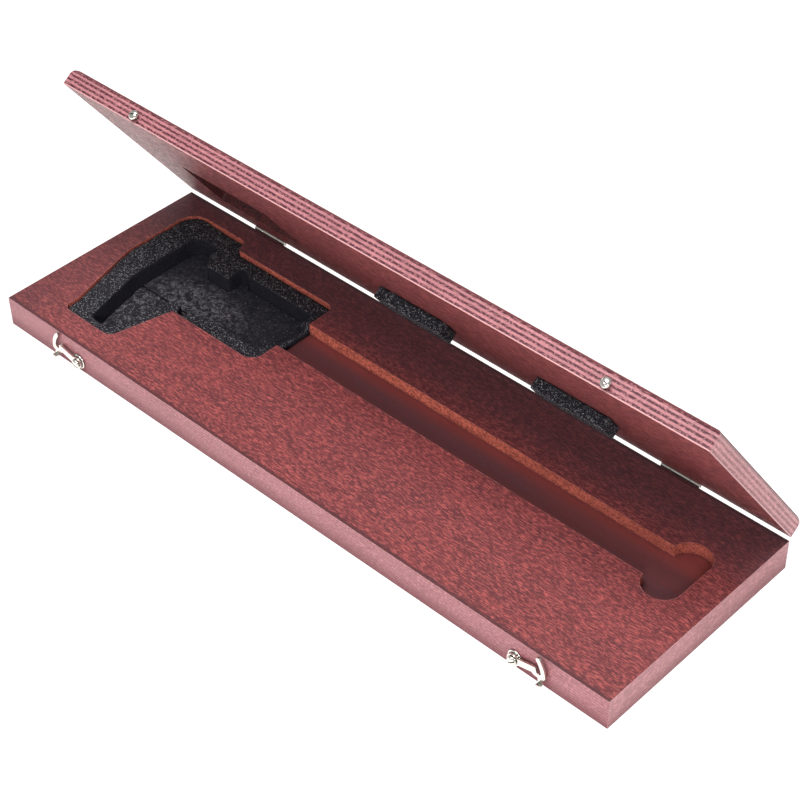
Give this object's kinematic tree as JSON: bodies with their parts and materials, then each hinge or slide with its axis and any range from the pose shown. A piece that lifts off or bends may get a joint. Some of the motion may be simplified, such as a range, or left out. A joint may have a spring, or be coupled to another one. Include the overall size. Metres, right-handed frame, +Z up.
{
  "type": "fitted instrument case",
  "caption": "Hinged wooden case with a foam-lined routed nest for a long dial caliper, front hooks and foam hold-down pads inside the lid.",
  "frame": {"origin": "centre of the base board's underside", "axes": "+X along the case to the right, +Y from the hooks to the hinges, +Z up; the lid stands 54 degrees open at rest"},
  "size_m": [0.445, 0.1549, 0.1429],
  "materials": {
    "stained_plywood": "satin red mahogany stain",
    "black_foam": "matte cut foam",
    "bright_nickel": "bright nickel plate"
  },
  "bodies": {
    "base": {"base_board": "stained_plywood", "foam_surround": "black_foam", "head_floor_foam": "black_foam", "hinge_left_base_leaf": "bright_nickel", "hinge_left_base_screw_a": "bright_nickel", "hinge_left_base_screw_b": "bright_nickel", "hinge_left_pin": "bright_nickel", "hinge_right_base_leaf": "bright_nickel", "hinge_right_base_screw_a": "bright_nickel", "hinge_right_base_screw_b": "bright_nickel", "hinge_right_pin": "bright_nickel", "hook_screw_left": "bright_nickel", "hook_screw_right": "bright_nickel", "hook_washer_left": "bright_nickel", "hook_washer_right": "bright_nickel", "jaw_floor_foam": "black_foam"},
    "lid": {"catch_screw_left": "bright_nickel", "catch_screw_right": "bright_nickel", "hinge_left_lid_leaf": "bright_nickel", "hinge_left_lid_screw_a": "bright_nickel", "hinge_left_lid_screw_b": "bright_nickel", "hinge_right_lid_leaf": "bright_nickel", "hinge_right_lid_screw_a": "bright_nickel", "hinge_right_lid_screw_b": "bright_nickel", "lid_board": "stained_plywood", "lid_pad_left": "black_foam", "lid_pad_right": "black_foam"},
    "hook_left": {"hook_left": "bright_nickel"},
    "hook_right": {"hook_right": "bright_nickel"}
  },
  "joints": [
    {"name": "lid_hinge", "type": "hinge", "parent": "base", "child": "lid", "pos_m": [0, 0.0729, 0.01965], "axis": [-1, 0, 0], "range_deg": [-54, 108]},
    {"name": "hook_left_pivot", "type": "hinge", "parent": "base", "child": "hook_left", "pos_m": [-0.1606, -0.0729, 0.007], "axis": [0, 1, 0], "range_deg": [-7.5, 67.4]},
    {"name": "hook_right_pivot", "type": "hinge", "parent": "base", "child": "hook_right", "pos_m": [0.1657, -0.0729, 0.007], "axis": [0, -1, 0], "range_deg": [-7.5, 88.2]}
  ]
}
